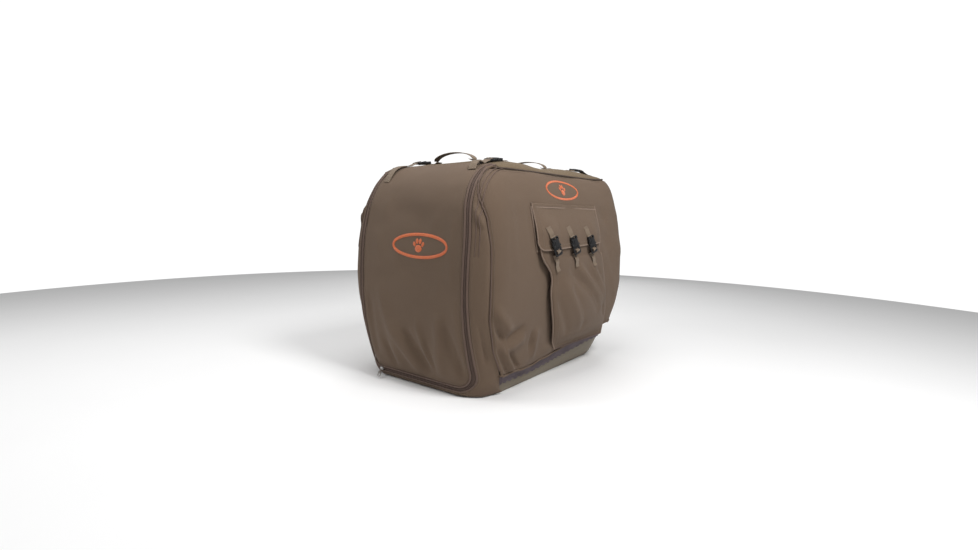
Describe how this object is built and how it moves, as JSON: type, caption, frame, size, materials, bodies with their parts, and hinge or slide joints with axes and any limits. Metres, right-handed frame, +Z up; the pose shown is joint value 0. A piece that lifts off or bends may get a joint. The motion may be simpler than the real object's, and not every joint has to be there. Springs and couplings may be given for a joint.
{
  "type": "fitted kennel cover on its crate",
  "caption": "Fitted fabric cover over a moulded animal crate, with a zipped door panel, a buckled side pocket, webbing grab handles and roll-up straps.",
  "frame": {"origin": "centre of the crate's flat underside, on the floor", "axes": "+Z up, the zipped door panel faces -Y, the gear pocket faces +X"},
  "size_m": [0.6787, 0.9486, 0.7752],
  "materials": {
    "canvas": "heavy woven polyester, matt, brown",
    "zip_tape": "woven zipper tape with coil teeth",
    "elastic": "gathered elastic binding, grey",
    "webbing": "tan woven webbing",
    "vent_mesh": "open black net",
    "badge": "embroidered patch with an orange border",
    "crate_plastic": "moulded taupe plastic, fine grain",
    "black_plastic": "black acetal, satin",
    "nickel": "nickel plate"
  },
  "bodies": {
    "cover": {"back_panel": "canvas", "corner_gusset_left": "canvas", "corner_gusset_right": "canvas", "crate_base": "crate_plastic", "crate_clip_1": "black_plastic", "crate_clip_2": "black_plastic", "crate_clip_3": "black_plastic", "crate_clip_4": "black_plastic", "crate_top": "crate_plastic", "front_handle_patch_left": "webbing", "front_handle_patch_right": "webbing", "front_roll_socket_left": "black_plastic", "front_roll_socket_right": "black_plastic", "front_sill": "canvas", "hem_elastic": "elastic", "left_panel": "canvas", "pocket_body": "canvas", "pocket_strap_1": "webbing", "pocket_strap_2": "webbing", "pocket_strap_3": "webbing", "rear_handle_patch_left": "webbing", "rear_handle_patch_right": "webbing", "rear_mesh": "vent_mesh", "rear_roll_socket_left": "black_plastic", "rear_roll_socket_right": "black_plastic", "rear_roll_strap_left": "webbing", "rear_roll_strap_right": "webbing", "right_panel": "canvas", "roof_panel": "canvas", "side_badge": "badge", "zipper_frame_side": "zip_tape"},
    "door_flap": {"door_panel": "canvas", "zipper_door_side": "zip_tape", "front_badge": "badge", "front_roll_strap_left": "webbing", "front_roll_strap_right": "webbing"},
    "crate_door": {"crate_door": "nickel"},
    "latch": {"crate_latch": "black_plastic"},
    "slider": {"zipper_slider": "nickel"},
    "pull_tab": {"zipper_pull": "nickel"},
    "front_grip": {"front_handle": "webbing"},
    "rear_grip": {"rear_handle": "webbing"},
    "pocket_lid": {"pocket_flap": "canvas", "flap_strap_1": "webbing", "flap_strap_2": "webbing", "flap_strap_3": "webbing", "pocket_socket_1": "black_plastic", "pocket_socket_2": "black_plastic", "pocket_socket_3": "black_plastic"},
    "rear_flap": {"rear_vent_flap": "canvas"},
    "pocket_clip_1": {"pocket_plug_1": "black_plastic"},
    "pocket_clip_2": {"pocket_plug_2": "black_plastic"},
    "pocket_clip_3": {"pocket_plug_3": "black_plastic"},
    "front_roll_clip_left": {"front_roll_plug_left": "black_plastic"},
    "front_roll_clip_right": {"front_roll_plug_right": "black_plastic"},
    "rear_roll_clip_left": {"rear_roll_plug_left": "black_plastic"},
    "rear_roll_clip_right": {"rear_roll_plug_right": "black_plastic"}
  },
  "joints": [
    {"name": "door_panel_lift", "type": "hinge", "parent": "cover", "child": "door_flap", "pos_m": [0, -0.3, 0.7255], "axis": [-1, 0, 0], "range_deg": [0, 105]},
    {"name": "crate_door_swing", "type": "hinge", "parent": "cover", "child": "crate_door", "pos_m": [-0.178, -0.421, 0.34], "axis": [0, 0, -1], "range_deg": [0, 75]},
    {"name": "crate_latch_turn", "type": "hinge", "parent": "crate_door", "child": "latch", "pos_m": [0.156, -0.4295, 0.34], "axis": [0, 1, 0], "range_deg": [0, 90]},
    {"name": "zipper_slider_travel", "type": "slide", "parent": "cover", "child": "slider", "axis": [0.9983, -0.0581, 0], "range_m": [0, 0.03]},
    {"name": "zipper_pull_swing", "type": "hinge", "parent": "slider", "child": "pull_tab", "pos_m": [-0.16849, -0.43907, 0.0245], "axis": [-0.7852, -0.6192, 0], "range_deg": [0, 70]},
    {"name": "front_handle_flop", "type": "hinge", "parent": "cover", "child": "front_grip", "pos_m": [0, -0.258, 0.7385], "axis": [1, 0, 0], "range_deg": [-35, 35]},
    {"name": "rear_handle_flop", "type": "hinge", "parent": "cover", "child": "rear_grip", "pos_m": [0, 0.17, 0.74517], "axis": [1, 0, 0], "range_deg": [-35, 35]},
    {"name": "pocket_flap_lift", "type": "hinge", "parent": "cover", "child": "pocket_lid", "pos_m": [0.2936, 0, 0.6], "axis": [0, -1, 0], "range_deg": [0, 130]},
    {"name": "rear_vent_lift", "type": "hinge", "parent": "cover", "child": "rear_flap", "pos_m": [0, 0.4627, 0.56], "axis": [1, 0, 0], "range_deg": [0, 110]},
    {"name": "pocket_clip_release_1", "type": "slide", "parent": "cover", "child": "pocket_clip_1", "axis": [0.1842, 0.2874, -0.9399], "range_m": [0, 0.022]},
    {"name": "pocket_clip_release_2", "type": "slide", "parent": "cover", "child": "pocket_clip_2", "axis": [0.1842, 0.2874, -0.9399], "range_m": [0, 0.022]},
    {"name": "pocket_clip_release_3", "type": "slide", "parent": "cover", "child": "pocket_clip_3", "axis": [0.1842, 0.2874, -0.9399], "range_m": [0, 0.022]},
    {"name": "front_roll_clip_release_left", "type": "slide", "parent": "cover", "child": "front_roll_clip_left", "axis": [0, -0.9957, -0.093], "range_m": [0, 0.02]},
    {"name": "front_roll_clip_release_right", "type": "slide", "parent": "cover", "child": "front_roll_clip_right", "axis": [0, -0.9957, -0.093], "range_m": [0, 0.02]},
    {"name": "rear_roll_clip_release_left", "type": "slide", "parent": "cover", "child": "rear_roll_clip_left", "axis": [0, 0.9993, -0.0366], "range_m": [0, 0.02]},
    {"name": "rear_roll_clip_release_right", "type": "slide", "parent": "cover", "child": "rear_roll_clip_right", "axis": [0, 0.9993, -0.0366], "range_m": [0, 0.02]}
  ],
  "couplings": [
    {"joint": "crate_door_swing", "follows": "door_panel_lift", "ratio": 0.7}
  ]
}
